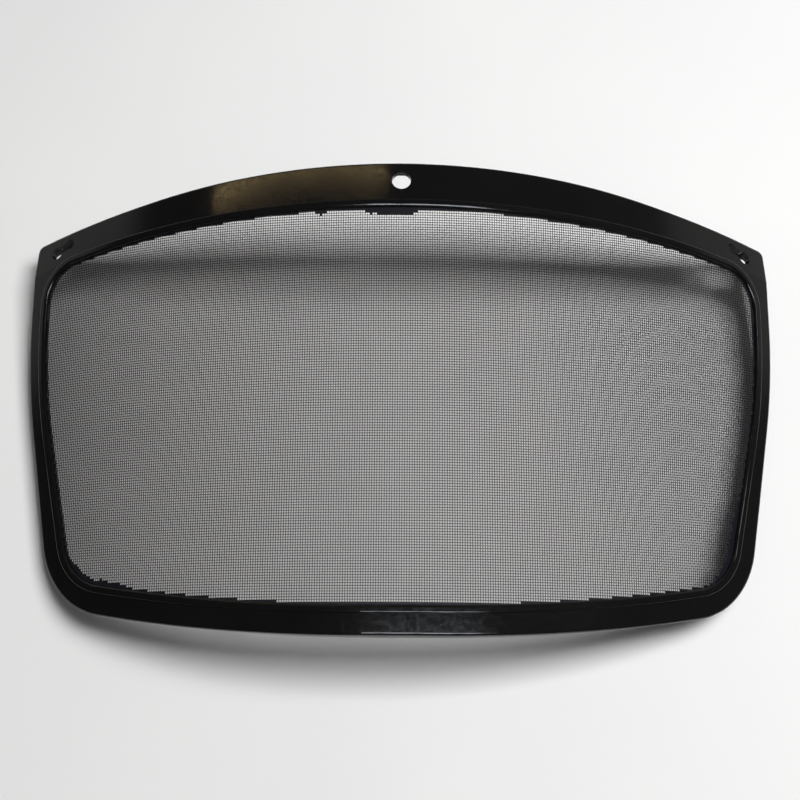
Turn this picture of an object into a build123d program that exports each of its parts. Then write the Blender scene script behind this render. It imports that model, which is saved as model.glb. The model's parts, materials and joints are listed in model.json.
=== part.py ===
from build123d import *
import os
from math import atan2, cos, degrees, radians, sin, sqrt

# Mesh face screen for a helmet: a curved panel of woven wire held in a moulded plastic rim.
#
# Everything is modelled standing up, in the screen frame: X across the face, Z up along the
# axis of the curve and -Y outwards, with the middle of the woven panel passing through the
# origin.  The finished pieces are then laid down on a table, on the back of the rim, with
# the outside of the screen facing up (+Z) and the brow edge towards +Y.
# All sizes are in millimetres and angles in degrees.

# ---- driving dimensions: the curved panel ----
PANEL_RADIUS = 306.0          # radius of the middle of the woven panel
WIRE_DIAMETER = 0.28
WARP_PITCH = 25.4 / 24        # upright wires, 24 to the inch
WEFT_PITCH = 1.13             # wires that run round the curve
WIRE_GAP = 0.01               # clearance between crossing wires
WIRE_GRIP = 3.0               # how far the wires reach into the rim
WEFT_SIDES = 8                # the curved wires have this many flats, to keep the model light
SHORTEST_WIRE = 2.0           # wires that would be shorter than this are left out

# ---- driving dimensions: the rim's section ----
BAND_THICKNESS = 2.4
LIP_DEPTH = 8.0               # of the stiffening lip that runs round the rim's back
LIP_THICKNESS = 1.8
BEAD_STEP = 0.7               # how far the bead stands out from the band
BEAD_WIDTH = 3.6              # from the band's inner edge to the opening
BEAD_OUTER_ROUNDING = 0.6     # on the side of the band
BEAD_INNER_ROUNDING = 1.3     # on the side of the opening
SLOT_DEPTH = 3.3              # the slot that holds the edge of the wires
SLOT_THICKNESS = 0.65
FRONT_ROUNDING = 1.2          # of the rim's outer edge
BACK_CHAMFER = 0.4            # of the lip's outer back edge

# ---- driving dimensions: the brow flange, which leans back from the panel ----
FLANGE_LEAN = 8.0
FLANGE_RADIUS = 296.0
FOLD_HEIGHT = 90.9            # of the fold, at the middle of the rim

# ---- driving dimensions: fixing holes, as (distance round the flange, height above fold) ----
CENTRE_HOLE_RADIUS = 4.2
CENTRE_HOLE_PLACE = (0.0, 9.2)
LARGE_LOBE_RADIUS = 3.1
LARGE_LOBE_PLACE = (170.0, -3.0)
SMALL_LOBE_RADIUS = 2.5
SMALL_LOBE_PLACE = (162.4, -0.3)
LOBE_NECK_WIDTH = 3.6

# ---- driving dimensions: marks that the mould leaves in the flange ----
MARK_DEPTH = 0.15
MARKS = [(-42.5, 3.6, 3.0), (-87.0, 3.0, 1.2)]   # distance round, height, radius

# ---- driving dimensions: how it lies on the table ----
UPPER_REST = (180.0, 6.0)     # points of the rim's edge that touch the table
LOWER_REST = (165.8, -58.0)

# ---- how the solids are built ----
OVERLAP = 12.0                # the half outlines end this far past the middle, and are cut there
SIDE_ANGLE = 31.0             # half outlines are projected square to the rim's side, at this angle
REACH = 150.0                 # longer than any cut needs
SIDE_STANDOFF = REACH / 4     # from the panel to the plane of a projected outline
HOLE_CUT = 20.0               # length of the cutters for holes
SLOT_OVERCUT = 1.0            # how far the slot's cutter reaches into the opening
CORNER_STEPS = 20             # steps of substitution that find the chin corner
CURVE_SPANS = 8               # spans of the spline that follows a projected edge
SHORT_EDGE = 1.0              # an outline edge shorter than this needs only two spans
LONG_EDGE = 1.3 * BAND_THICKNESS   # shorter edges than this run through the rim's thickness
ON_MIDDLE = 0.01              # closer to the middle plane than this is on it
SAME_RADIUS = 0.05            # radii closer than this are the same surface


class Loop:
    """One closed line round the panel, on its developed surface."""

    def __init__(self, brow, brow_radius, straight_from, width, taper, chin, brow_corner, chin_corner):
        self.brow = brow                      # height at the middle of the brow edge
        self.brow_radius = brow_radius
        self.straight_from = straight_from    # where the brow arc turns into a straight
        self.width = width                    # half width at the widest
        self.taper = taper                    # slope of the straight lower side
        self.chin = chin                      # height at the middle of the chin edge
        self.brow_corner = brow_corner        # corner radii
        self.chin_corner = chin_corner

    def inset(self, distance):
        """The same line, moved inwards."""
        return Loop(
            self.brow - distance, self.brow_radius - distance, self.straight_from,
            self.width - distance, self.taper, self.chin + distance,
            self.brow_corner - distance, self.chin_corner - distance)


SIDE_BEND_HEIGHT = 50.0       # the sides are upright above this and curve inwards below it
SIDE_BEND_RADIUS = 240.0
CHIN_RADIUS = 690.0
CHIN_FLAT = 15.0              # half length of the straight part of the chin edge

OUTER = Loop(brow=109.2, brow_radius=640.0, straight_from=110.0, width=183.7, taper=0.213,
             chin=-99.3, brow_corner=3.5, chin_corner=40.0)
BAND_INNER = Loop(brow=90.9, brow_radius=970.0, straight_from=145.0, width=177.2, taper=0.255,
                  chin=-90.1, brow_corner=22.0, chin_corner=28.0)
OPENING = BAND_INNER.inset(BEAD_WIDTH)


def half_outline(loop):
    """The right half of a loop as a flat face: X is the distance round, Y the height."""
    # brow edge: an arc, then a straight line at the arc's last slope
    drop = loop.straight_from ** 2 / (2 * loop.brow_radius)
    slope = loop.straight_from / loop.brow_radius
    brow_end = (loop.straight_from, loop.brow - drop)
    brow_start = (-OVERLAP, loop.brow - OVERLAP ** 2 / (2 * loop.brow_radius))
    corner = (loop.width, brow_end[1] - slope * (loop.width - loop.straight_from))
    brow_arc = ThreePointArc(brow_start, (0, loop.brow), brow_end)

    # side: upright, then an arc that turns inwards, then straight down to the chin corner
    bend_radius = SIDE_BEND_RADIUS - (OUTER.width - loop.width)
    turn = atan2(loop.taper, 1)
    bend_start = (loop.width, SIDE_BEND_HEIGHT)
    bend_middle = (loop.width - bend_radius * (1 - cos(turn / 2)),
                   SIDE_BEND_HEIGHT - bend_radius * sin(turn / 2))
    bend_end = (loop.width - bend_radius * (1 - cos(turn)),
                SIDE_BEND_HEIGHT - bend_radius * sin(turn))

    # chin edge: where the side line meets the chin arc, by a few steps of substitution
    chin_radius = CHIN_RADIUS + (OUTER.chin - loop.chin)
    chin_height = loop.chin
    for _ in range(CORNER_STEPS):
        chin_width = bend_end[0] - loop.taper * (bend_end[1] - chin_height)
        chin_height = chin_arc_height(loop.chin, chin_radius, chin_width)
    chin_point = (chin_width, chin_height)
    chin_middle_width = (CHIN_FLAT + chin_width) / 2
    chin_middle = (chin_middle_width, chin_arc_height(loop.chin, chin_radius, chin_middle_width))

    edges = [
        brow_arc,
        Line(brow_end, corner),
        Line(corner, bend_start),
        ThreePointArc(bend_start, bend_middle, bend_end),
        Line(bend_end, chin_point),
        ThreePointArc(chin_point, chin_middle, (CHIN_FLAT, loop.chin)),
        Line((CHIN_FLAT, loop.chin), (-OVERLAP, loop.chin)),
        Line((-OVERLAP, loop.chin), brow_start),
    ]
    face = Face(Wire(edges))
    brow_vertex = face.vertices().sort_by_distance(corner)[0]
    face = face.fillet_2d(loop.brow_corner, [brow_vertex])
    chin_vertex = face.vertices().sort_by_distance(chin_point)[0]
    return face.fillet_2d(loop.chin_corner, [chin_vertex])


def chin_arc_height(chin, radius, width):
    """Height of the chin edge at a distance from the middle."""
    return chin + radius - sqrt(radius ** 2 - (width - CHIN_FLAT) ** 2)


def half_prism(loop):
    """A bar with the loop's right half as its outline, square to the rim's side."""
    side_plane = Plane(
        origin=on_panel(SIDE_ANGLE, PANEL_RADIUS + SIDE_STANDOFF, 0),
        x_dir=(cos(radians(SIDE_ANGLE)), sin(radians(SIDE_ANGLE)), 0),
        z_dir=(sin(radians(SIDE_ANGLE)), -cos(radians(SIDE_ANGLE)), 0))
    flat_edges = []
    for edge in half_outline(loop).outer_wire().edges():
        flat_edges.append(projected(edge))
    flat_face = Face(Wire(flat_edges))
    return extrude(side_plane * flat_face, amount=REACH, dir=-side_plane.z_dir)


def projected(edge):
    """An edge of the developed outline, wrapped on the panel and seen square to the side."""
    steps = 2 if edge.length < SHORT_EDGE else CURVE_SPANS
    points = [flat_view(edge @ (i / steps)) for i in range(steps + 1)]
    tangents = [flat_direction(edge, end) for end in (0, 1)]
    return Edge.make_spline(points, tangents=tangents)


def flat_view(point):
    angle = point.X / PANEL_RADIUS - radians(SIDE_ANGLE)
    return Vector(PANEL_RADIUS * sin(angle), point.Y)


def flat_direction(edge, end):
    angle = (edge @ end).X / PANEL_RADIUS - radians(SIDE_ANGLE)
    tangent = edge % end
    return Vector(tangent.X * cos(angle), tangent.Y)


def on_panel(angle, radius, height):
    """A point at an angle round the panel's axis, at a radius from it."""
    return Vector(radius * sin(radians(angle)),
                  PANEL_RADIUS - radius * cos(radians(angle)), height)


def curved_block(offset):
    """Everything behind the panel's surface, moved outwards by the offset."""
    return Pos(0, PANEL_RADIUS, 0) * Cylinder(PANEL_RADIUS + offset, 2 * REACH)


def leaning_block(offset):
    """Everything behind the brow flange's surface, moved outwards by the offset."""
    block = Pos(0, FLANGE_RADIUS, 0) * Cylinder(FLANGE_RADIUS + offset, 4 * REACH)
    return Pos(0, 0, FOLD_HEIGHT) * Rot(X=-FLANGE_LEAN) * block


def folded_block(offset):
    """Everything behind the rim's folded surface, moved outwards by the offset."""
    return curved_block(offset) & leaning_block(offset)


def between(inner_offset, outer_offset):
    """A curved layer of the panel, between two offsets from its middle."""
    return curved_block(outer_offset) - curved_block(inner_offset)


def flange_plane(distance, height):
    """A plane on the middle of the flange, with its Z axis pointing outwards."""
    angle = degrees(distance / FLANGE_RADIUS)
    local = (Pos(0, FLANGE_RADIUS, 0) * Rot(Z=angle) * Pos(0, -FLANGE_RADIUS, height)
             * Rot(X=90))
    return Plane(Pos(0, 0, FOLD_HEIGHT) * Rot(X=-FLANGE_LEAN) * local)


def right_half(solid):
    return solid & (Pos(REACH, 0, 0) * Box(2 * REACH, 4 * REACH, 4 * REACH))


def half_rim():
    """The right half of the moulded rim, without its holes."""
    half = BAND_THICKNESS / 2
    back = -half - LIP_DEPTH
    slab = right_half((folded_block(half) - folded_block(back)) & half_prism(OUTER))
    slab = chamfer(outline_edges(slab, back + LIP_THICKNESS, in_front=False), BACK_CHAMFER)
    slab = fillet(outline_edges(slab, 0, in_front=True), FRONT_ROUNDING)
    rim = slab - (folded_block(-half) & half_prism(OUTER.inset(LIP_THICKNESS)))

    opening = half_prism(OPENING)
    bead = right_half(between(0, half + BEAD_STEP) & (half_prism(BAND_INNER) - opening))
    bead = fillet(bead_edges(bead, on_inside=False), BEAD_OUTER_ROUNDING)
    rim = rim - opening + bead
    rim = fillet(bead_edges(rim, on_inside=True), BEAD_INNER_ROUNDING)
    slot_prism = half_prism(OPENING.inset(-SLOT_DEPTH)) - half_prism(OPENING.inset(SLOT_OVERCUT))
    slot = between(-SLOT_THICKNESS / 2, SLOT_THICKNESS / 2) & slot_prism
    return rim - slot


def outline_edges(solid, offset, in_front):
    """The long edges of the outline's walls in front of the offset, or behind it, chin to brow."""
    limit = folded_block(offset)
    found = []
    for face in solid.faces():
        is_skin = face.geom_type in (GeomType.CYLINDER, GeomType.PLANE)
        if is_skin:
            continue
        for edge in face.edges():
            middle = edge @ 0.5
            is_long = edge.length > LONG_EDGE and middle.X > ON_MIDDLE
            if is_long and limit.is_inside(middle) != in_front:
                found.append(edge)
    return sorted(found, key=height_angle)


def height_angle(edge):
    """The direction of an edge's middle, seen from the middle of the panel."""
    middle = edge @ 0.5
    return atan2(middle.Z, middle.X)


def bead_edges(solid, on_inside):
    """The long edges of the bead's top: those beside the opening, or those beside the band."""
    top_radius = PANEL_RADIUS + BAND_THICKNESS / 2 + BEAD_STEP
    bead_middle = half_prism(OPENING.inset(-BEAD_WIDTH / 2))
    found = []
    for edge in solid.edges():
        middle = edge @ 0.5
        radius = sqrt(middle.X ** 2 + (middle.Y - PANEL_RADIUS) ** 2)
        is_on_top = abs(radius - top_radius) < SAME_RADIUS and middle.X > ON_MIDDLE
        if is_on_top and bead_middle.is_inside(middle) == on_inside:
            found.append(edge)
    return found


def keyhole():
    """A cutter for the right-hand keyhole: two round lobes joined by a narrower neck."""
    across = SMALL_LOBE_PLACE[0] - LARGE_LOBE_PLACE[0]
    up = SMALL_LOBE_PLACE[1] - LARGE_LOBE_PLACE[1]
    spacing = sqrt(across ** 2 + up ** 2)
    large = Cylinder(LARGE_LOBE_RADIUS, HOLE_CUT)
    small = Pos(across, up, 0) * Cylinder(SMALL_LOBE_RADIUS, HOLE_CUT)
    neck = Pos(across / 2, up / 2, 0) * Rot(Z=degrees(atan2(up, across)))
    neck = neck * Box(spacing, LOBE_NECK_WIDTH, HOLE_CUT)
    return flange_plane(*LARGE_LOBE_PLACE) * (large + small + neck)


def mould_mark(distance, height, radius):
    """A cutter for one shallow round mark in the front of the flange."""
    front = BAND_THICKNESS / 2
    disc = Cylinder(radius, HOLE_CUT, align=(Align.CENTER, Align.CENTER, Align.MIN))
    return flange_plane(distance, height) * Pos(0, 0, front - MARK_DEPTH) * disc


def rim():
    """The whole moulded rim, with its fixing holes."""
    right = half_rim()
    whole = right + mirror(right, about=Plane.YZ)
    right_keyhole = keyhole()
    whole = whole - right_keyhole - mirror(right_keyhole, about=Plane.YZ)
    whole = whole - flange_plane(*CENTRE_HOLE_PLACE) * Cylinder(CENTRE_HOLE_RADIUS, HOLE_CUT)
    for mark in MARKS:
        whole = whole - mould_mark(*mark)
    return whole.solid()


def warp_wires():
    """The upright wires, on the inside of the weave."""
    radius = PANEL_RADIUS - (WIRE_DIAMETER + WIRE_GAP) / 2
    cloth = half_outline(OPENING.inset(-WIRE_GRIP))
    wires = []
    count = int(cloth.bounding_box().max.X / WARP_PITCH)
    for index in range(count + 1):
        distance = index * WARP_PITCH
        line = Edge.make_line((distance, -REACH), (distance, REACH))
        box = (cloth & line).bounding_box()
        if box.size.Y < SHORTEST_WIRE:
            continue
        angle = degrees(distance / PANEL_RADIUS)
        wire = Cylinder(WIRE_DIAMETER / 2, box.size.Y)
        wires.append(Pos(on_panel(angle, radius, box.center().Y)) * wire)
        if index > 0:
            wires.append(Pos(on_panel(-angle, radius, box.center().Y)) * wire)
    return wires


def weft_wires():
    """The wires that run round the curve, on the outside of the weave."""
    radius = PANEL_RADIUS + (WIRE_DIAMETER + WIRE_GAP) / 2
    cloth = half_outline(OPENING.inset(-WIRE_GRIP))
    height = cloth.bounding_box().min.Y + WEFT_PITCH / 2
    wires = []
    while height < cloth.bounding_box().max.Y:
        line = Edge.make_line((0, height), (REACH * 2, height))
        box = (cloth & line).bounding_box()
        angle = degrees(box.max.X / PANEL_RADIUS)
        section = Pos(0, -radius, height) * Rot(Y=90)
        section = section * RegularPolygon(WIRE_DIAMETER / 2, WEFT_SIDES)
        arc = revolve(section, Axis.Z, 2 * angle)
        wires.append(Pos(0, PANEL_RADIUS, 0) * Rot(Z=-angle) * arc)
        height += WEFT_PITCH
    return wires


def rest_depth(place):
    """How far behind the middle of the panel a point of the lip's back edge lies."""
    angle = place[0] / PANEL_RADIUS
    return PANEL_RADIUS - (PANEL_RADIUS - BAND_THICKNESS / 2 - LIP_DEPTH) * cos(angle)


def table_place(rim_solid):
    """The move that lays the screen on its back, centred over the row's origin."""
    depth_change = rest_depth(UPPER_REST) - rest_depth(LOWER_REST)
    tilt = degrees(atan2(depth_change, UPPER_REST[1] - LOWER_REST[1]))
    turned = Rot(X=tilt - 90)
    box = (turned * rim_solid).bounding_box()
    return Pos(-box.center().X, -box.center().Y, -box.min.Z) * turned


def main():
    os.makedirs("parts", exist_ok=True)
    rim_solid = rim()
    place = table_place(rim_solid)
    export_step(place * rim_solid, "parts/visor_frame.step")
    export_step(place * Compound(children=warp_wires()), "parts/warp_wires.step")
    export_step(place * Compound(children=weft_wires()), "parts/weft_wires.step")


main()
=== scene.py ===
import json
import math

import bpy
import numpy as np
from mathutils import Matrix, Vector
from mathutils.kdtree import KDTree


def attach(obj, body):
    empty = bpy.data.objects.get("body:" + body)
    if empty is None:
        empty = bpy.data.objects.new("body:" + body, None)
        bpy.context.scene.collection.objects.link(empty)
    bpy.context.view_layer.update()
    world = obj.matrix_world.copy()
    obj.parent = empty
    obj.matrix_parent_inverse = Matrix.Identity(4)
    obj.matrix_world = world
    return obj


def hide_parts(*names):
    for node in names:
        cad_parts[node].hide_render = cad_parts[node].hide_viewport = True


# The looks of a wire-mesh face screen that lies on a pale table, on the lip behind its rim.
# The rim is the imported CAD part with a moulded-plastic finish.  The wires are woven here, one
# under and over the other, along the lines of the straight CAD wires that they stand for.
# All lengths are in metres and angles in degrees, unless a name or a comment says otherwise.

MM = 0.001

# ---- the screen's own frame: X across, Z up its curve's axis, -Y outwards ----
PANEL_RADIUS = 306.0 * MM      # of the middle of the weave
FLANGE_LEAN = 8.0              # of the brow flange, back from the panel
FLANGE_RADIUS = 296.0 * MM
FOLD_HEIGHT = 90.9 * MM        # where the flange starts to lean
HOLE_HEIGHT = 9.2 * MM         # of the centre hole, above the fold

# ---- the weave ----
WIRE_DIAMETER = 0.28 * MM
WARP_PITCH = 25.4 / 24 * MM    # between upright wires, 24 to the inch
WEFT_PITCH = 1.13 * MM         # between the wires that run round the curve
WIRE_GRIP = 3.0 * MM           # length of wire inside the rim
WIRE_SIDES = 4
CRIMP = 0.5 * WIRE_DIAMETER    # how far a wire swings to each side of the weave's middle
CREST = 0.12 * MM              # half length of the flat crest over a crossing wire
WARP_GROUPS = 5                # pieces that the wires are shared between
WEFT_GROUPS = 5

# ---- the film of plastic that ran into the weave along the opening ----
FILM_HALF_THICKNESS = 0.30 * MM
FILM_ROOT = -0.9 * MM          # the film starts this far inside the rim
FILM_DEPTH = 0.60 * MM         # where it only closes the cells that the edge cuts
FILM_RAGGED = 1.1 * MM         # how uneven the pools' edges are
FILM_SEED = 7
FILM_BEVEL = 0.1 * MM
FILM_BEVEL_STEPS = 2
FILM_BEVEL_ANGLE = 50.0        # edges that turn less than this stay as they are
# Where it spread further into the opening: (around, height, half width, half height, depth)
FILM_POOLS = [
    (-4.0 * MM, 87 * MM, 13.0 * MM, 9 * MM, 3.9 * MM),     # at the gate, middle of the brow
    (-35.0 * MM, 87 * MM, 3.0 * MM, 9 * MM, 2.2 * MM),
    (166.0 * MM, -60 * MM, 30.0 * MM, 30 * MM, 3.2 * MM),  # lower corners
    (-150.0 * MM, -80 * MM, 34.0 * MM, 18 * MM, 2.6 * MM),
]

# ---- table and camera ----
TABLE_RADIUS = 4.0
TABLE_SIDES = 96
SENSOR_WIDTH = 36.0            # mm
LENS = 64.35                   # mm
NEAREST_SEEN = 0.01
CAMERA_DISTANCE = 608.0 * MM
CAMERA_LEAN = 14.17            # from straight onto the panel, towards the chin
CAMERA_ROLL = 0.38

# ---- lights: powers are in watts, leans are from straight above, towards +X and towards +Y ----
LIGHT_DISTANCE = 1.5
KEY_POWER = 25.5
KEY_SIZE = (0.90, 0.58)
KEY_LEAN = (24.0, 6.5)
# The key is hidden from reflections.  These cards and the strip are only seen in reflections.
CARD_POWER = 17.0              # mirrored by the rounded edges of the rim along the chin
CARD_SIZE = (0.62, 0.74)
CARD_LEAN = (5.5, -21.5)
CARD_COLOUR = (0.88, 0.93, 1.0)
SIDE_CARD_POWER = 2.0          # mirrored by the right-hand side of the rim
SIDE_CARD_SIZE = (0.50, 0.30)
SIDE_CARD_LEAN = (32.0, 9.0)
STRIP_POWER = 0.55             # a dim warm strip, mirrored by the brow flange
STRIP_WIDTH = 0.026
STRIP_COLOUR = (1.0, 0.72, 0.34)
STRIP_START = (-84 * MM, 1 * MM)     # on the flange: distance round it, height above the fold
STRIP_END = (-8 * MM, 16 * MM)

# ---- the dim room round the table: brightness, and the directions between which it changes ----
ROOM_COLOUR = (1.0, 0.985, 0.96)
ROOM_LEFT = 0.06
ROOM_RIGHT = 0.10
ROOM_SPAN = (-0.7, 0.7)        # along X
HORIZON_GLOW = 0.47
GLOW_TOP = (0.36, 0.50)        # along Z
GLOW_FRONT = (0.19, 0.26)      # along Y

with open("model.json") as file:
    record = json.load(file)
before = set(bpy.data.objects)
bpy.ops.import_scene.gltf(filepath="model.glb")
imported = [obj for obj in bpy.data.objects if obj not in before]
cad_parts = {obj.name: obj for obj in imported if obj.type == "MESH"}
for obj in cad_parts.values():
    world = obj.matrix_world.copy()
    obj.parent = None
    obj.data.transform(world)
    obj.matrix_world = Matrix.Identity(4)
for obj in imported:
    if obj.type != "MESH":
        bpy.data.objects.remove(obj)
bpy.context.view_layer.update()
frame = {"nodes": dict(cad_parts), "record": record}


# ---------------------------------------------------------------- places

def mount(name):
    for entry in frame["record"]["mounts"]:
        if entry["name"] == name:
            return entry
    raise KeyError(name)


def screen_to_row():
    """The matrix from the screen's own frame to the row frame, from the centre hole's mount."""
    hole = mount("centre_hole")
    axis = Vector(hole["axis"])
    lean = math.radians(FLANGE_LEAN)
    tilt = lean - math.atan2(axis.y, axis.z)
    turn = Matrix.Rotation(tilt - math.pi / 2, 4, "X")
    middle = Vector((0, HOLE_HEIGHT * math.sin(lean), FOLD_HEIGHT + HOLE_HEIGHT * math.cos(lean)))
    move = Vector(hole["pos_m"]) - turn @ middle
    return Matrix.Translation(move) @ turn


TO_ROW = screen_to_row()


def on_cloth(around, height, outwards):
    """Row-frame points, from arrays of distance round the panel, height and offset outwards."""
    angle = around / PANEL_RADIUS
    radius = PANEL_RADIUS + outwards
    points = np.stack([radius * np.sin(angle), PANEL_RADIUS - radius * np.cos(angle), height], -1)
    turn = np.array(TO_ROW.to_3x3())
    return points @ turn.T + np.array(TO_ROW.translation)


def cloth_places(node):
    """Distance round the panel and height of every vertex of a CAD node."""
    mesh = frame["nodes"][node].data
    places = np.zeros(len(mesh.vertices) * 3, np.float32)
    mesh.vertices.foreach_get("co", places)
    back = TO_ROW.inverted()
    points = places.reshape(-1, 3) @ np.array(back.to_3x3()).T + np.array(back.translation)
    angle = np.arctan2(points[:, 0], PANEL_RADIUS - points[:, 1])
    return angle * PANEL_RADIUS, points[:, 2]


def wire_lines():
    """Where the CAD wires run: {index: (lowest, highest)} upright, {index: (height, reach)} round."""
    around, height = cloth_places("warp_wires")
    upright = {}
    index = np.rint(around / WARP_PITCH).astype(int)
    for i in range(index.min(), index.max() + 1):
        chosen = height[index == i]
        if len(chosen):
            upright[i] = (chosen.min(), chosen.max())
    around, height = cloth_places("weft_wires")
    first = height.min() + WIRE_DIAMETER / 2
    index = np.rint((height - first) / WEFT_PITCH).astype(int)
    round_curve = {}
    for j in range(index.max() + 1):
        round_curve[j] = (first + j * WEFT_PITCH, np.abs(around[index == j]).max())
    return upright, round_curve


# ---------------------------------------------------------------- mesh helpers

def mesh_object(name, points, quads, smooth=True):
    """A mesh object from arrays of points and of four-cornered faces."""
    mesh = bpy.data.meshes.new(name)
    mesh.vertices.add(len(points))
    mesh.vertices.foreach_set("co", np.asarray(points, np.float32).ravel())
    mesh.loops.add(quads.size)
    mesh.loops.foreach_set("vertex_index", np.asarray(quads, np.int32).ravel())
    mesh.polygons.add(len(quads))
    mesh.polygons.foreach_set("loop_start", np.arange(0, quads.size, 4, dtype=np.int32))
    mesh.polygons.foreach_set("use_smooth", np.full(len(quads), smooth))
    mesh.update(calc_edges=True)
    piece = bpy.data.objects.new(name, mesh)
    bpy.context.scene.collection.objects.link(piece)
    return piece


def tube_quads(rings):
    """Faces of one closed tube with that many rings, its two ends included."""
    side = np.arange(WIRE_SIDES)
    ring = np.arange(rings - 1)[:, None] * WIRE_SIDES
    after = (side + 1) % WIRE_SIDES
    walls = np.stack([ring + side, ring + after, ring + after + WIRE_SIDES, ring + side + WIRE_SIDES], -1)
    ends = np.array([side[::-1], (rings - 1) * WIRE_SIDES + side])
    return np.concatenate([walls.reshape(-1, 4), ends])


# ---------------------------------------------------------------- the woven wires

def crest_points(crossings, sides, first, last):
    """Places along a wire and its offsets, with a short flat crest at each crossing."""
    along = np.stack([crossings - CREST, crossings + CREST], -1).ravel()
    offset = np.repeat(sides * CRIMP, 2)
    along = np.concatenate([[first], along, [last]])
    offset = np.concatenate([[0], offset, [0]])
    inside = (along >= first) & (along <= last)
    return along[inside], offset[inside]


def wire_rings(along, offset, fixed, upright):
    """The points of one wire's rings.  fixed is its own place across its direction."""
    turn = (np.arange(WIRE_SIDES) + 0.5) * 2 * math.pi / WIRE_SIDES
    # between the radii inside and outside the round wire, so that it looks as thick
    radius = WIRE_DIAMETER / 2 / math.cos(math.pi / WIRE_SIDES) ** 0.5
    across = np.tile(fixed + radius * np.cos(turn), (len(along), 1))
    outwards = offset[:, None] + radius * np.sin(turn)
    forward = np.tile(along[:, None], (1, WIRE_SIDES))
    if upright:
        return on_cloth(across, forward, outwards).reshape(-1, 3)
    return on_cloth(forward, across, outwards).reshape(-1, 3)


def warp_wire(i, upright, round_curve):
    around = i * WARP_PITCH
    lowest, highest = upright[i]
    crossed = [j for j, (height, reach) in round_curve.items()
               if reach > abs(around) and lowest < height < highest]
    heights = np.array([round_curve[j][0] for j in crossed])
    sides = np.array([1 if (i + j) % 2 else -1 for j in crossed])
    along, offset = crest_points(heights, sides, lowest, highest)
    return wire_rings(along, offset, around, upright=True)


def weft_wire(j, upright, round_curve):
    height, reach = round_curve[j]
    crossed = [i for i, (lowest, highest) in upright.items()
               if abs(i * WARP_PITCH) < reach and lowest < height < highest]
    places = np.array([i * WARP_PITCH for i in crossed])
    sides = np.array([-1 if (i + j) % 2 else 1 for i in crossed])
    along, offset = crest_points(places, sides, -reach, reach)
    return wire_rings(along, offset, height, upright=False)


def wire_piece(name, wires, node, material):
    """One piece made of many wires, given as arrays of ring points."""
    quads = []
    first = 0
    for points in wires:
        quads.append(tube_quads(len(points) // WIRE_SIDES) + first)
        first += len(points)
    piece = mesh_object(name, np.concatenate(wires), np.concatenate(quads))
    piece.data.materials.append(material)
    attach(piece, "root")
    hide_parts(node)
    return piece


def weave(upright, round_curve, material):
    warp = np.array_split(np.array(sorted(upright)), WARP_GROUPS)
    for number, group in enumerate(warp, 1):
        wires = [warp_wire(int(i), upright, round_curve) for i in group]
        wire_piece(f"upright_wires_{number}", wires, "warp_wires", material)
    weft = np.array_split(np.array(sorted(round_curve)), WEFT_GROUPS)
    for number, group in enumerate(weft, 1):
        wires = [weft_wire(int(j), upright, round_curve) for j in group]
        wire_piece(f"round_wires_{number}", wires, "weft_wires", material)


# ---------------------------------------------------------------- the film in the weave

def edge_distance(upright, round_curve):
    """A function that gives how far inside the rim's opening a place on the cloth lies."""
    ends = []
    for i, (lowest, highest) in upright.items():
        ends += [(i * WARP_PITCH, lowest), (i * WARP_PITCH, highest)]
    for height, reach in round_curve.values():
        ends += [(-reach, height), (reach, height)]
    tree = KDTree(len(ends))
    for number, (around, height) in enumerate(ends):
        tree.insert((around, height, 0), number)
    tree.balance()
    return lambda around, height: tree.find((around, height, 0))[2] - WIRE_GRIP


def film_depth(around, height, noise):
    """How far the film reaches into the opening near a place, for a random number from 0 to 1."""
    depth = FILM_DEPTH
    for pool_around, pool_height, wide, high, pool_depth in FILM_POOLS:
        away = ((around - pool_around) / wide) ** 2 + ((height - pool_height) / high) ** 2
        if away < 1:
            depth = max(depth, pool_depth * math.sqrt(1 - away) + FILM_RAGGED * (noise - 0.5))
    return depth


def film_cells(upright, round_curve):
    """The cells of the weave that plastic has filled, as (upright wire, round wire) indices."""
    distance = edge_distance(upright, round_curve)
    noise = np.random.default_rng(FILM_SEED)
    filled = set()
    for j in sorted(round_curve)[:-1]:
        height = round_curve[j][0] + WEFT_PITCH / 2
        for i in range(min(upright), max(upright)):
            around = (i + 0.5) * WARP_PITCH
            inside = distance(around, height)
            if FILM_ROOT < inside < film_depth(around, height, noise.random()):
                filled.add((i, j))
    return filled


def film_piece(upright, round_curve, material):
    """The filled cells as one thin plate that follows the panel, with walls where it ends."""
    filled = film_cells(upright, round_curve)
    numbers = {}
    places = []

    def corner(i, j, outwards):
        key = (i, j, outwards)
        if key not in numbers:
            numbers[key] = len(places)
            height = round_curve[0][0] + j * WEFT_PITCH
            places.append((i * WARP_PITCH, height, outwards * FILM_HALF_THICKNESS))
        return numbers[key]

    quads = []
    for i, j in sorted(filled):
        square = [(i, j), (i + 1, j), (i + 1, j + 1), (i, j + 1)]
        quads.append([corner(*place, 1) for place in square])
        quads.append([corner(*place, -1) for place in reversed(square)])
        beside = [(i, j - 1), (i + 1, j), (i, j + 1), (i - 1, j)]
        for side in range(4):
            if beside[side] in filled:
                continue
            start, end = square[side], square[(side + 1) % 4]
            quads.append([corner(*end, 1), corner(*start, 1), corner(*start, -1), corner(*end, -1)])
    places = np.array(places)
    points = on_cloth(places[:, 0], places[:, 1], places[:, 2])
    piece = mesh_object("plastic_film", points, np.array(quads), smooth=False)
    bevel = piece.modifiers.new("soft_edges", "BEVEL")
    bevel.width = FILM_BEVEL
    bevel.segments = FILM_BEVEL_STEPS
    bevel.limit_method = "ANGLE"
    bevel.angle_limit = math.radians(FILM_BEVEL_ANGLE)
    piece.data.materials.append(material)
    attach(piece, "root")
    return piece


# ---------------------------------------------------------------- materials

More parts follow.
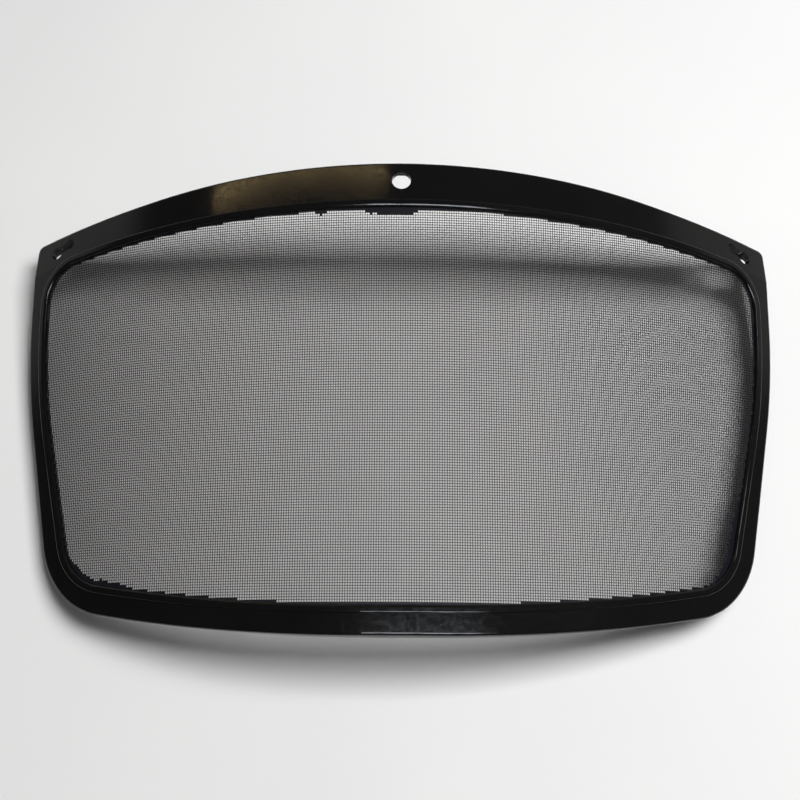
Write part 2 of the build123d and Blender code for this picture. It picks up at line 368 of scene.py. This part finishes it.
class Nodes:
    """A short way to write a material's node tree."""

    def __init__(self, name):
        self.material = bpy.data.materials.new(name)
        self.material.use_nodes = True
        self.tree = self.material.node_tree
        self.shader = self.tree.nodes["Principled BSDF"]
        self.place = self.node("ShaderNodeTexCoord").outputs["Object"]

    def node(self, kind, **inputs):
        made = self.tree.nodes.new(kind)
        for name, value in inputs.items():
            made.inputs[name].default_value = value
        return made

    def feed(self, output, socket):
        """Links an output to one of the shader's sockets."""
        self.tree.links.new(output, self.shader.inputs[socket])

    def noise(self, scale, detail=3.0, roughness=0.5):
        made = self.node("ShaderNodeTexNoise", Scale=scale, Detail=detail, Roughness=roughness)
        self.tree.links.new(self.place, made.inputs["Vector"])
        return made.outputs["Fac"]

    def blend(self, value, low, high, first, second):
        """A colour that goes from the first to the second as the value goes from low to high."""
        made = self.node("ShaderNodeValToRGB")
        start, end = made.color_ramp.elements
        start.position = low
        start.color = (*first, 1)
        end.position = high
        end.color = (*second, 1)
        self.tree.links.new(value, made.inputs["Fac"])
        return made.outputs["Color"]

    def spread(self, value, low, high, first, second):
        """A number that goes from the first to the second as the value goes from low to high."""
        made = self.node("ShaderNodeMapRange")
        made.inputs["From Min"].default_value = low
        made.inputs["From Max"].default_value = high
        made.inputs["To Min"].default_value = first
        made.inputs["To Max"].default_value = second
        self.tree.links.new(value, made.inputs["Value"])
        return made.outputs["Result"]

    def bump(self, height, distance, strength, under=None):
        made = self.node("ShaderNodeBump", Strength=strength, Distance=distance)
        self.tree.links.new(height, made.inputs["Height"])
        if under is not None:
            self.tree.links.new(under, made.inputs["Normal"])
        return made.outputs["Normal"]


def plastic_material():
    """Glossy black moulded plastic, with faint scuffs and a slight ripple from the mould."""
    nodes = Nodes("rim_plastic")
    blotches = nodes.noise(scale=35.0, detail=4.0)
    scuffs = nodes.noise(scale=420.0, detail=6.0, roughness=0.7)
    ripple = nodes.bump(nodes.noise(scale=45.0, detail=2.0), distance=0.05 * MM, strength=0.15)
    grain = nodes.noise(scale=2600.0, detail=2.0)
    nodes.feed(nodes.blend(blotches, 0.35, 0.7, (0.0032, 0.0032, 0.0036), (0.0045, 0.0043, 0.0041)),
               "Base Color")
    nodes.feed(nodes.spread(scuffs, 0.4, 0.75, 0.09, 0.17), "Roughness")
    nodes.feed(nodes.bump(grain, distance=0.004 * MM, strength=0.2, under=ripple), "Normal")
    nodes.shader.inputs["IOR"].default_value = 1.46
    nodes.shader.inputs["Specular IOR Level"].default_value = 0.4
    return nodes.material


def film_material():
    """The same plastic where it set without touching the mould: duller and uneven."""
    nodes = Nodes("film_plastic")
    blotches = nodes.noise(scale=900.0)
    patches = nodes.noise(scale=700.0)
    lumps = nodes.noise(scale=1400.0)
    nodes.feed(nodes.blend(blotches, 0.3, 0.7, (0.003, 0.003, 0.0055), (0.006, 0.006, 0.010)),
               "Base Color")
    nodes.feed(nodes.spread(patches, 0.3, 0.7, 0.35, 0.6), "Roughness")
    nodes.feed(nodes.bump(lumps, distance=0.1 * MM, strength=0.6), "Normal")
    nodes.shader.inputs["Specular IOR Level"].default_value = 0.25
    return nodes.material


def wire_material():
    """Dark coated steel wire, satin, with small changes of tone across the panel."""
    nodes = Nodes("coated_wire")
    tone = nodes.noise(scale=60.0)
    rubbing = nodes.noise(scale=900.0, detail=2.0)
    coating = nodes.noise(scale=9000.0, detail=2.0)
    nodes.feed(nodes.blend(tone, 0.3, 0.7, (0.013, 0.013, 0.016), (0.023, 0.022, 0.022)),
               "Base Color")
    nodes.feed(nodes.spread(rubbing, 0.3, 0.7, 0.32, 0.5), "Roughness")
    nodes.feed(nodes.bump(coating, distance=0.01 * MM, strength=0.3), "Normal")
    nodes.shader.inputs["Metallic"].default_value = 0.25
    return nodes.material


def table_material():
    nodes = Nodes("pale_table")
    tone = nodes.noise(scale=6.0)
    nodes.feed(nodes.blend(tone, 0.3, 0.7, (0.80, 0.80, 0.80), (0.83, 0.83, 0.825)), "Base Color")
    nodes.shader.inputs["Roughness"].default_value = 0.75
    return nodes.material


# ---------------------------------------------------------------- stage

def make_table():
    bpy.ops.mesh.primitive_circle_add(vertices=TABLE_SIDES, radius=TABLE_RADIUS, fill_type="NGON")
    table = bpy.context.object
    table.name = "table_top"
    table.data.materials.append(table_material())


def camera_place():
    lean = math.radians(CAMERA_LEAN)
    return TO_ROW @ (CAMERA_DISTANCE * Vector((0, -math.cos(lean), -math.sin(lean))))


def make_camera():
    """The camera looks at the middle of the woven panel."""
    camera = bpy.data.objects.new("camera", bpy.data.cameras.new("camera"))
    bpy.context.scene.collection.objects.link(camera)
    camera.data.sensor_width = SENSOR_WIDTH
    camera.data.lens = LENS
    camera.data.clip_start = NEAREST_SEEN
    camera.location = camera_place()
    camera.rotation_mode = "QUATERNION"
    look = (TO_ROW.translation - camera_place()).to_track_quat("-Z", "Y")
    roll = Matrix.Rotation(math.radians(CAMERA_ROLL), 3, "Z").to_quaternion()
    camera.rotation_quaternion = look @ roll
    bpy.context.scene.camera = camera


def overhead(lean):
    """A place above the table, leaning from straight up by the two angles of the lean."""
    right, brow = (math.tan(math.radians(angle)) for angle in lean)
    return LIGHT_DISTANCE * Vector((right, brow, 1)).normalized()


def panel_light(name, size, power, place, along):
    """A flat light that faces the screen, with the first of its two sizes along a direction."""
    light = bpy.data.lights.new(name, "AREA")
    light.shape = "RECTANGLE"
    light.size, light.size_y = size
    light.energy = power
    lamp = bpy.data.objects.new(name, light)
    bpy.context.scene.collection.objects.link(lamp)
    backwards = place.normalized()
    along = (along - along.dot(backwards) * backwards).normalized()
    turn = Matrix((along, backwards.cross(along), backwards)).transposed()
    lamp.matrix_world = Matrix.Translation(place) @ turn.to_4x4()
    return lamp


def mirrored_place(around, height):
    """Where a point of the brow flange mirrors the camera's line of sight to."""
    angle = around / FLANGE_RADIUS
    lean = math.radians(FLANGE_LEAN)
    normal = Vector((math.sin(angle), -math.cos(angle) * math.cos(lean), math.sin(lean)))
    point = Vector((FLANGE_RADIUS * math.sin(angle), height * math.sin(lean), FOLD_HEIGHT + height))
    point.y += FLANGE_RADIUS * (1 - math.cos(angle))
    point = TO_ROW @ point
    normal = (TO_ROW.to_3x3() @ normal).normalized()
    sight = (camera_place() - point).normalized()
    return point + LIGHT_DISTANCE * (2 * normal.dot(sight) * normal - sight)


def make_warm_strip():
    """A long narrow warm light, placed so that the flange mirrors it on a slant."""
    start = mirrored_place(*STRIP_START)
    end = mirrored_place(*STRIP_END)
    size = ((end - start).length, STRIP_WIDTH)
    strip = panel_light("warm_strip", size, STRIP_POWER, (start + end) / 2, end - start)
    strip.data.color = STRIP_COLOUR
    return strip


def make_lights():
    across = Vector((1, 0, 0))
    key = panel_light("key", KEY_SIZE, KEY_POWER, overhead(KEY_LEAN), across)
    key.visible_glossy = False
    card = panel_light("card", CARD_SIZE, CARD_POWER, overhead(CARD_LEAN), across)
    card.data.color = CARD_COLOUR
    side_card = panel_light("side_card", SIDE_CARD_SIZE, SIDE_CARD_POWER, overhead(SIDE_CARD_LEAN), across)
    for mirrored in (card, side_card, make_warm_strip()):
        mirrored.visible_diffuse = False


def make_room():
    """A dim room, a little lighter on the right, with a glow low down behind the brow."""
    world = bpy.data.worlds.new("room")
    bpy.context.scene.world = world
    world.use_nodes = True
    tree = world.node_tree
    place = tree.nodes.new("ShaderNodeTexCoord")
    split = tree.nodes.new("ShaderNodeSeparateXYZ")
    tree.links.new(place.outputs["Generated"], split.inputs["Vector"])

    def change(axis, between, first, second):
        """A brightness that goes from the first to the second between two places on an axis."""
        made = tree.nodes.new("ShaderNodeMapRange")
        made.interpolation_type = "SMOOTHSTEP"
        made.inputs["From Min"].default_value, made.inputs["From Max"].default_value = between
        made.inputs["To Min"].default_value = first
        made.inputs["To Max"].default_value = second
        tree.links.new(split.outputs[axis], made.inputs["Value"])
        return made.outputs["Result"]

    def join(operation, first, second):
        made = tree.nodes.new("ShaderNodeMath")
        made.operation = operation
        tree.links.new(first, made.inputs[0])
        tree.links.new(second, made.inputs[1])
        return made.outputs["Value"]

    low_down = change("Z", GLOW_TOP, HORIZON_GLOW, 0.0)
    behind_brow = change("Y", GLOW_FRONT, 0.0, 1.0)
    glow = join("MULTIPLY", low_down, behind_brow)
    room = change("X", ROOM_SPAN, ROOM_LEFT, ROOM_RIGHT)
    background = tree.nodes["Background"]
    tree.links.new(join("MAXIMUM", glow, room), background.inputs["Strength"])
    background.inputs["Color"].default_value = (*ROOM_COLOUR, 1)


# ---------------------------------------------------------------- putting it together

def dress_rim(material):
    """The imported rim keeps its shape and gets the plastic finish."""
    rim = frame["nodes"]["visor_frame"]
    rim.data.materials.clear()
    rim.data.materials.append(material)


make_camera()
make_lights()
make_room()
bpy.context.scene.view_settings.view_transform = "Standard"
make_table()
dress_rim(plastic_material())
upright_lines, round_lines = wire_lines()
weave(upright_lines, round_lines, wire_material())
film_piece(upright_lines, round_lines, film_material())
